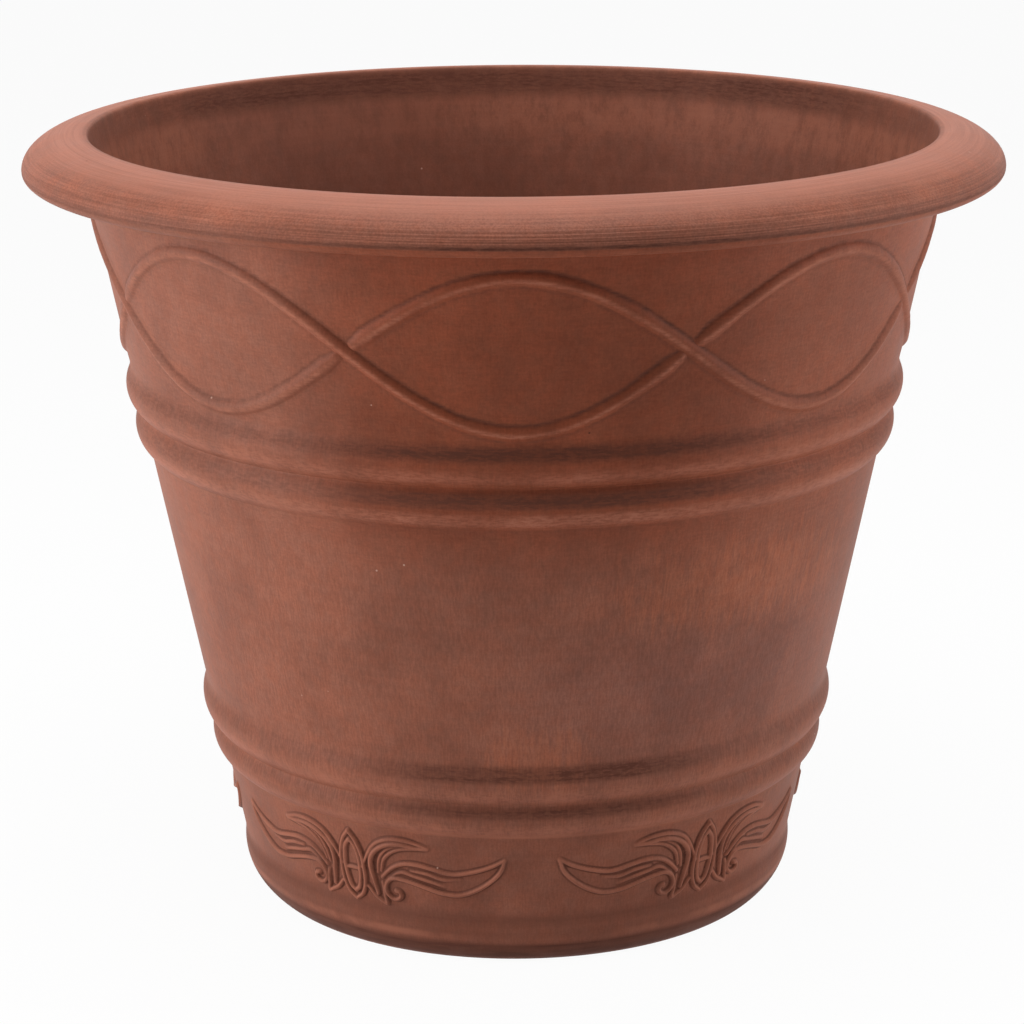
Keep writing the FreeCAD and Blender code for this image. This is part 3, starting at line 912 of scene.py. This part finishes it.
class Terracotta(Tree):
    """Terracotta-brown composite: mottled, brushed in places, washed dark in hollows, rubbed on edges, with
    painted shade and painted highlights.
    """

    def __init__(self):
        super().__init__(bpy.data.materials.new("terracotta"))
        self.locate()
        self.wear_and_shading = self.read_wear_and_shading()
        self.find_regions()
        self.make_textures()
        colour = self.clay()
        for layer in (self.threaded, self.stained, self.banded, self.brushed, self.dimmed, self.turned,
                      self.washed_and_shaded, self.rubbed_and_lit, self.shouldered, self.specked):
            colour = layer(colour)
        roughness = self.maths("MULTIPLY_ADD", self.wash_and_shade, HOLLOW_ROUGHNESS, CLAY_ROUGHNESS)
        roughness = self.maths("MULTIPLY_ADD", self.blotches, BLOTCH_ROUGHNESS, roughness)
        shader = self.surface(colour, roughness, self.relief(), *CLAY_BUMPS)
        self.feed(shader.inputs["Specular IOR Level"], CLAY_SPECULAR)

    def find_regions(self):
        """Shares by which a point lies inside, outside, on the rim and on parts of the outer wall."""
        middle = wall_radius(0.0) - WALL_THICKNESS / 2
        middle = self.maths("MULTIPLY_ADD", self.level, math.tan(DRAFT), middle)
        self.inside = self.between(self.maths("SUBTRACT", middle, self.radius), 0.0, INSIDE_DEPTH)
        self.outside = self.rest(self.inside)
        self.on_rim = self.times(self.outside, self.at_levels(*RIM_START))
        self.outer_wall = self.times(self.outside, self.rest(self.on_rim))
        self.upper_wall = self.times(self.outer_wall, self.at_levels(*UPPER_START))
        self.above_leaves = self.at_levels(*LEAVES_END)

    def make_textures(self):
        """Noise of the finish: threads, brush strokes, turned lines, clouds, hue, grain and mottle."""
        hatch = self.wound_noise(self.level, *HATCH)
        self.weft = self.wound_noise(self.level, *WEFT)
        thread = self.maths("MULTIPLY_ADD", self.weft, self.upper_wall, hatch)
        self.thread = self.maths("DIVIDE", thread, self.maths("ADD", 1.0, self.upper_wall))
        self.strokes = self.wound_noise(self.level, *STROKES)
        # Turned lines run round level faces too, so their height also changes with the radius
        slant = self.maths("SUBTRACT", self.level, self.radius)
        self.lines = self.wound_noise(slant, *TURNED_LINES)
        self.clouds = self.noise(self.point, *CLOUDS)
        self.blotches = self.noise(self.point, *BLOTCHES)
        self.tone = self.noise(self.point, *TONE)
        self.grain = self.noise(self.point, *GRAIN)
        mottle = self.wound_noise(self.level, *MOTTLE)
        self.mottle = self.blend(self.at_levels(*FLOOR_START), mottle, self.blotches)

    def streaked(self, streaks):
        """A factor that varies in short level streaks above the leaf band."""
        return self.blend(self.above_leaves, 1.0, self.between(self.weft, *streaks))

    def clay(self):
        """The ground: clouds and blotches, a mottled hue, and grain that is stronger on the rim."""
        shade = self.blend(CLOUD_WEIGHT, self.blotches, self.clouds)
        colour = self.mix(self.between(shade, *CLAY_RANGE), CLAY_DARK, CLAY_LIGHT)
        hue = self.mix(self.between(self.tone, *TONE_RANGE), COOL_TINT, WARM_TINT)
        depth = self.blend(self.on_rim, GRAIN_DEPTH, RIM_GRAIN_DEPTH)
        return self.varied(1.0, self.tint(1.0, colour, hue), self.grain, depth)

    def threaded(self, colour):
        """Fine threads on the outer wall, stronger on beads and cords, and mottling on the inner wall."""
        depth = self.between(self.maths("ABSOLUTE", self.wear_and_shading), *BEAD_THREADS)
        depth = self.blend(self.above_leaves, LOW_THREADS, depth)
        colour = self.varied(self.outer_wall, colour, self.thread, depth)
        mottled = self.grey(self.between(self.mottle, *INSIDE_MOTTLE))
        return self.tint(self.inside, colour, mottled)

    def stained(self, colour):
        """The upper wall, browner at the front, and warmer at the right as painted light that makes up for
        the lamps' grey sheen there.
        """
        colour = self.tint(self.times(self.upper_wall, self.towards(*STAIN_SIDE)), colour, STAIN_TINT)
        return self.tint(self.times(self.upper_wall, self.towards(*SHEEN_OFFSET_SIDE)), colour, SHEEN_OFFSET_TINT)

    def banded(self, colour):
        """A lighter mottled band inside, under the mouth."""
        uneven = self.between(self.mottle, *BAND_MOTTLE)
        return self.mix(self.times(self.in_band(*INSIDE_BAND), self.inside, uneven), colour, BAND_COLOUR)

    def brushed(self, colour):
        """A greyer patch, and dry-brushed patches that break up into strokes."""
        colour = self.tint(self.times(self.outer_wall, self.spot(*HAZE)), colour, HAZE_TINT)
        zone = self.spot(*BRUSHED[0])
        for patch in BRUSHED[1:]:
            zone = self.maths("MAXIMUM", zone, self.spot(*patch))
        broken = self.maths("MULTIPLY_ADD", self.strokes, STROKE_WEIGHT, zone)
        stroke = self.between(broken, *STROKE_EDGE)
        return self.tint(self.times(stroke, self.outer_wall), colour, STROKE_TINT)

    def dimmed(self, colour):
        """Painted shade on the inner wall, darker low down and at the left."""
        low = self.at_levels(*LOW_INSIDE_SHADE)
        dim = self.maths("MAXIMUM", low, self.towards(*LEFT_INSIDE_SHADE))
        return self.mix(self.times(self.inside, dim), colour, INSIDE_SHADE)

    def turned(self, colour):
        """Turned lines, strongest on the rim's face, and a paler crest, partly a dusty tone and partly
        painted sheen.
        """
        colour = self.tint(self.on_rim, colour, RIM_TINT)
        scored = self.times(self.on_rim, self.at_levels(*SCORED))
        lined = self.grey(self.between(self.lines, *LINE_TONES))
        colour = self.tint(self.maths("ADD", scored, LINE_WEIGHT), colour, lined)
        uneven = self.between(self.lines, *CREST_SHEEN_LINES)
        return self.mix(self.times(self.on_rim, self.at_levels(*CREST_SHEEN_START), uneven), colour, CREST_SHEEN_COLOUR)

    def washed_and_shaded(self, colour):
        """Dark wash in creases, and painted shade on the beads, under the rim, round the foot and in the
        mouth; stronger at the front and weaker at the lit sides, as painted shade.
        """
        sides = self.times(self.towards(*LEFT_LIT), self.towards(*RIGHT_LIT))
        strength = self.blend(self.at_levels(*FRONT_SHADE_START), 1.0, self.towards(*FRONT_SHADE))
        strength = self.blend(self.at_levels(*SIDE_LIT_START), strength, sides)
        strength = self.blend(self.inside, strength, self.towards(*INSIDE_WASH))
        uneven = self.times(self.between(self.blotches, *WASH_AND_SHADE_BLOTCHES),
                            self.between(self.lines, *WASH_AND_SHADE_LINES), self.streaked(WASH_AND_SHADE_STREAKS))
        self.wash_and_shade = self.times(self.between(self.wear_and_shading, *WASH_AND_SHADE_RANGE), strength, uneven)
        return self.mix(self.wash_and_shade, colour, WASH_AND_SHADE_COLOUR)

    def rubbed_and_lit(self, colour):
        """Paler rubbed edges and painted highlights, less of both low down at the right."""
        low_right = self.times(self.at_levels(*LOW_RUB_AND_LIGHT_START), self.towards(*RIGHT_RUB_AND_LIGHT))
        uneven = self.times(self.between(self.blotches, *RUB_AND_LIGHT_BLOTCHES), self.streaked(RUB_AND_LIGHT_STREAKS))
        kept = self.blend(low_right, 1.0, LOW_RUB_AND_LIGHT_WEIGHT)
        return self.mix(self.times(self.between(self.wear_and_shading, *RUB_AND_LIGHT_RANGE), uneven, kept), colour, RUBBED_AND_LIT_COLOUR)

    def shouldered(self, colour):
        """A rubbed streak with a painted highlight on the shoulder of the base bead."""
        uneven = self.between(self.blotches, *SHOULDER_BLOTCHES)
        streak = self.times(self.in_band(*SHOULDER_BAND), self.towards(*SHOULDER_SIDES), self.outside, uneven)
        return self.mix(streak, colour, SHOULDER_RUB_AND_LIGHT_COLOUR)

    def specked(self, colour):
        """A few pale specks and dark pits."""
        cells = self.nodes.new("ShaderNodeTexVoronoi")
        self.feed(cells.inputs["Vector"], self.point)
        self.feed(cells.inputs["Scale"], SPECK_SCALE)
        chance = self.nodes.new("ShaderNodeSeparateColor")
        self.feed(chance.inputs[0], cells.outputs["Color"])
        dot = self.between(cells.outputs["Distance"], *SPECK_EDGE)
        self.speck = self.times(dot, self.between(chance.outputs[0], *SPECK_CHANCE))
        self.pit = self.times(dot, self.between(chance.outputs[1], *PIT_CHANCE))
        colour = self.mix(self.times(self.speck, SPECK_STRENGTH), colour, SPECK_COLOUR)
        return self.mix(self.times(self.pit, PIT_STRENGTH), colour, PIT_COLOUR)

    def relief(self):
        """Height of the fine relief: threads, grain, turned lines, blotches, specks and pits."""
        linen = self.blend(self.upper_wall, THREAD_BUMP, LINEN_BUMP)
        height = self.times(self.thread, linen, self.rest(self.on_rim))
        on_lines = self.blend(self.on_rim, LINE_BUMP, RIM_LINE_BUMP)
        spots = self.maths("SUBTRACT", self.speck, self.pit)
        for texture, share in ((self.grain, GRAIN_BUMP), (self.lines, on_lines),
                               (self.blotches, BLOTCH_BUMP), (spots, SPOT_BUMP)):
            height = self.maths("MULTIPLY_ADD", texture, share, height)
        return height


def rubber():
    """Matte black rubber with a fine moulded grain, greyer where it is handled."""
    t = Tree(bpy.data.materials.new("stopper_rubber"))
    t.locate()
    dust = t.noise(t.point, *RUBBER_DUST)
    grain = t.noise(t.point, *RUBBER_GRAIN)
    colour = t.mix(t.between(dust, *DUST_RANGE), RUBBER_DARK, RUBBER_DUSTY)
    handled = t.times(t.between(t.read_wear_and_shading(), *HANDLED_RANGE), HANDLED_WEIGHT)
    colour = t.mix(handled, colour, RUBBER_WORN)
    t.surface(colour, t.between(dust, *RUBBER_ROUGHNESS), grain, *RUBBER_BUMPS)
    return t.owner


# Studio

def shown_white(t):
    """1 for rays that should meet the plain white background, 0 for those that light the object."""
    rays = t.nodes.new("ShaderNodeLightPath").outputs
    seen = t.maths("MAXIMUM", rays["Is Camera Ray"], rays["Is Glossy Ray"])
    return t.maths("MAXIMUM", seen, rays["Is Transmission Ray"])


def studio_floor():
    """A pale floor that shows as near white and keeps the pot's shadow."""
    t = Tree(bpy.data.materials.new("floor"))
    t.nodes.remove(t.nodes["Principled BSDF"])
    white = t.add("Emission", {"Color": WHITE, "Strength": 1.0})
    plain = t.add("BsdfDiffuse", {"Color": FLOOR_COLOUR})
    mixed = t.add("MixShader", {0: t.times(shown_white(t), FLOOR_WHITE), 1: plain, 2: white})
    t.feed(t.nodes["Material Output"].inputs["Surface"], mixed)
    corners = [(x * FLOOR_HALF, y * FLOOR_HALF, 0.0) for x, y in ((-1, -1), (1, -1), (1, 1), (-1, 1))]
    mesh = bpy.data.meshes.new("floor")
    mesh.from_pydata(corners, [], [(0, 1, 2, 3)])
    mesh.materials.append(t.owner)
    floor = new_object("floor", mesh)


def studio_world():
    """A white surrounding that lights the object only a little."""
    t = Tree(bpy.data.worlds.new("studio"))
    bpy.context.scene.world = t.owner
    background = t.nodes["Background"]
    t.feed(background.inputs["Color"], WHITE)
    strength = t.add("MapRange", {0: shown_white(t), 3: WORLD_LIGHT, 4: 1.0})
    t.feed(background.inputs["Strength"], strength)


def looking(place, target):
    """The turn that makes a light or camera at a place face a target."""
    return (Vector(target) - Vector(place)).to_track_quat("-Z", "Y")


def softbox(name, place, target, width, height, watts):
    lamp = bpy.data.lights.new(name, "AREA")
    lamp.shape, lamp.size, lamp.size_y, lamp.energy = "RECTANGLE", width, height, watts
    holder = new_object(name, lamp)
    holder.location = place
    holder.rotation_euler = looking(place, target).to_euler()


def photo_camera():
    """The photograph's view: the front, from a little above, with the picture turned slightly."""
    lens = bpy.data.cameras.new("photo_camera")
    lens.sensor_width, lens.lens = SENSOR_WIDTH, FOCAL_LENGTH
    camera = new_object("photo_camera", lens)
    camera.location = CAMERA_PLACE
    roll = Quaternion((0.0, 0.0, 1.0), CAMERA_ROLL)
    camera.rotation_euler = (looking(CAMERA_PLACE, CAMERA_TARGET) @ roll).to_euler()
    bpy.context.scene.camera = camera


clay = Terracotta().owner
new_piece(turned_mesh("pot_body", pot_loop(), pot_wear_and_shading, POT_STEPS), "pot", "pot_shell", clay)
for number in range(1, 2 * WAVES + 1):
    turn = WAVE_TURN + (number - 1) * math.pi / WAVES
    strand = strand_mesh("wave_strand_relief_%d" % number, turn, number)
    new_piece(strand, "pot", "wave_strand_%d" % number, clay)
for number, spray in spray_meshes():
    new_piece(spray, "pot", "leaf_spray_%d" % number, clay)
stopper = turned_mesh("stopper_body", stopper_loop(), loop_wear, STOPPER_STEPS)
new_piece(stopper, "stopper", "drain_plug", rubber())

studio_floor()
studio_world()
for box in SOFTBOXES:
    softbox(*box)
photo_camera()
bpy.context.scene.view_settings.view_transform = "Standard"
